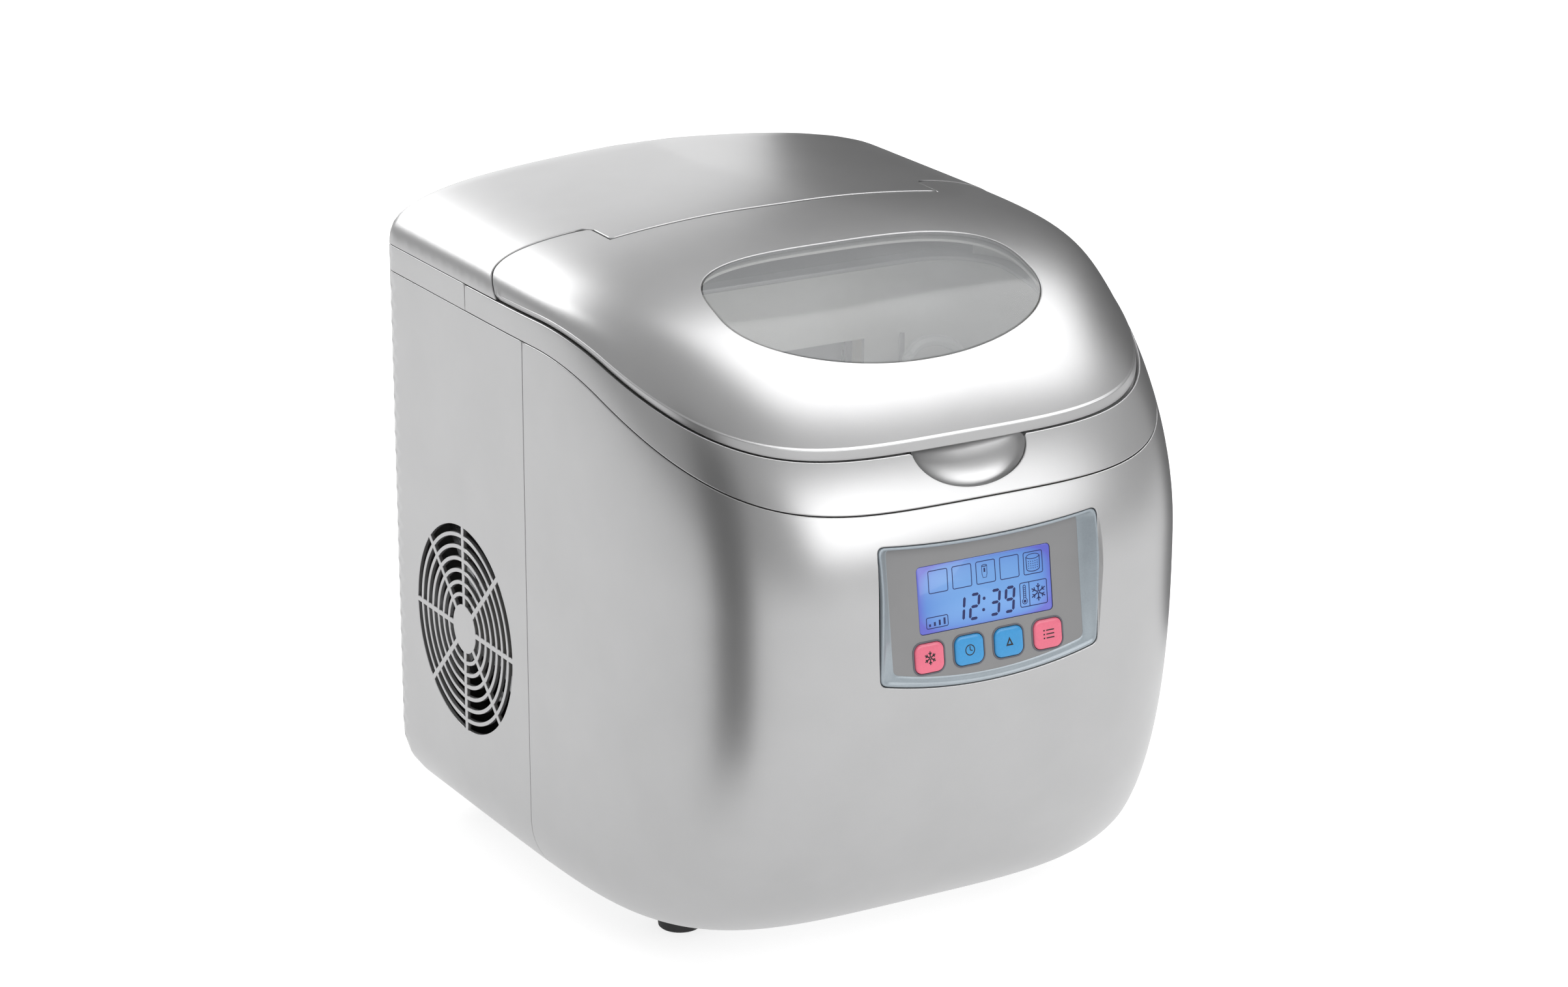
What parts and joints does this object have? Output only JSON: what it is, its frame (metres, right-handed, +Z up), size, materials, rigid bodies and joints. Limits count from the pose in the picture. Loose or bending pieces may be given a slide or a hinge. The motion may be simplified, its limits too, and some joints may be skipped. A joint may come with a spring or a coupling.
{
  "type": "countertop ice maker",
  "caption": "Free-standing countertop ice maker with a hinged lid and window, ice basket, tilting water tray, pusher, freezing fingers, control panel, fan and compressor.",
  "frame": {"origin": "on the floor under the middle of the body's box", "axes": "+X to the right seen from the front, +Y from the control panel to the back wall, +Z up"},
  "size_m": [0.366, 0.4321, 0.425],
  "materials": {
    "silver_shell": "satin silver paint on moulded plastic",
    "window_smoke": "clear smoky window",
    "white_liner": "satin moulded",
    "basket_white": "satin moulded",
    "tray_grey": "satin moulded",
    "bezel_clear": "frosted clear moulding",
    "panel_grey": "satin",
    "display_blue": "backlit display",
    "key_pink": "gloss",
    "key_blue": "gloss",
    "board_green": "solder-masked board with its parts",
    "black_plastic": "satin",
    "foam": "rigid foam",
    "steel": "bright zinc",
    "pan_steel": "galvanised sheet",
    "cold_metal": "nickel-plated copper",
    "hose_clear": "milky silicone",
    "compressor_black": "black enamel",
    "rubber": "matt",
    "fin_aluminium": "thin fins on tubes",
    "motor_grey": "cast grey",
    "copper": "drawn copper tube",
    "loom_black": "sheathed wires"
  },
  "bodies": {
    "cabinet": {"base_pan": "pan_steel", "rear_housing": "silver_shell", "front_shell": "silver_shell", "top_frame": "silver_shell", "rear_top_band": "silver_shell", "rear_cover": "silver_shell", "hinge_pins": "steel", "panel_bezel": "bezel_clear", "panel_face": "panel_grey", "display_module": "display_blue", "control_board": "board_green", "tact_switches": "black_plastic", "tub": "white_liner", "tub_foam": "foam", "ice_grate": "white_liner", "tray_motor": "steel", "shaft_bush": "black_plastic", "evaporator": "cold_metal", "evaporator_brackets": "steel", "water_pump": "black_plastic", "pump_hose": "hose_clear", "water_level_probe": "steel", "ice_full_sensors": "black_plastic", "compressor": "compressor_black", "compressor_mounts": "rubber", "relay_box": "white_liner", "condenser": "fin_aluminium", "fan_bracket": "steel", "fan_motor": "motor_grey", "filter_drier": "copper", "hot_gas_valve": "steel", "discharge_line": "copper", "liquid_line": "copper", "capillary_tube": "copper", "suction_line": "copper", "hot_gas_lines": "copper", "power_board": "board_green", "board_bracket": "steel", "wiring_loom": "loom_black", "drain_hose": "hose_clear", "drain_spout": "black_plastic", "cord_gland": "black_plastic", "rubber_feet": "rubber", "foot_screws": "steel", "back_screws": "steel"},
    "lid": {"lid": "silver_shell", "lid_window": "window_smoke", "lid_inner_panel": "white_liner", "lid_seal": "white_liner"},
    "tray": {"water_tray": "tray_grey"},
    "pusher": {"ice_pusher": "white_liner"},
    "fan": {"fan_blade": "black_plastic"},
    "basket": {"ice_basket": "basket_white", "basket_handle": "basket_white"},
    "key_ice": {"button_ice": "key_pink"},
    "key_set": {"button_set": "key_blue"},
    "key_timer": {"button_timer": "key_blue"},
    "key_select": {"button_select": "key_pink"},
    "drain_plug": {"drain_cap": "black_plastic"}
  },
  "joints": [
    {"name": "lid_hinge", "type": "hinge", "parent": "cabinet", "child": "lid", "pos_m": [0, 0.056, 0.403], "axis": [-1, 0, 0], "range_deg": [0, 55]},
    {"name": "tray_tilt", "type": "hinge", "parent": "cabinet", "child": "tray", "pos_m": [0, -0.014, 0.268], "axis": [-1, 0, 0], "range_deg": [0, 70]},
    {"name": "pusher_swing", "type": "hinge", "parent": "cabinet", "child": "pusher", "pos_m": [0, -0.014, 0.268], "axis": [-1, 0, 0], "range_deg": [0, 105]},
    {"name": "fan_spin", "type": "hinge", "parent": "cabinet", "child": "fan", "pos_m": [-0.1425, 0.108, 0.155], "axis": [1, 0, 0], "continuous": true},
    {"name": "basket_lift", "type": "slide", "parent": "cabinet", "child": "basket", "axis": [0, 0, 1], "range_m": [0, 0.05]},
    {"name": "press_ice", "type": "slide", "parent": "cabinet", "child": "key_ice", "axis": [0, 0.9903, -0.1392], "range_m": [0, 0.001], "stiffness_N_per_m": 300, "springref_m": -0.001},
    {"name": "press_set", "type": "slide", "parent": "cabinet", "child": "key_set", "axis": [0, 0.9903, -0.1392], "range_m": [0, 0.001], "stiffness_N_per_m": 300, "springref_m": -0.001},
    {"name": "press_timer", "type": "slide", "parent": "cabinet", "child": "key_timer", "axis": [0, 0.9903, -0.1392], "range_m": [0, 0.001], "stiffness_N_per_m": 300, "springref_m": -0.001},
    {"name": "press_select", "type": "slide", "parent": "cabinet", "child": "key_select", "axis": [0, 0.9903, -0.1392], "range_m": [0, 0.001], "stiffness_N_per_m": 300, "springref_m": -0.001},
    {"name": "drain_pull", "type": "slide", "parent": "cabinet", "child": "drain_plug", "axis": [1, 0, 0], "range_m": [0, 0.02]}
  ],
  "couplings": [
    {"joint": "pusher_swing", "follows": "tray_tilt", "ratio": 1.5}
  ]
}
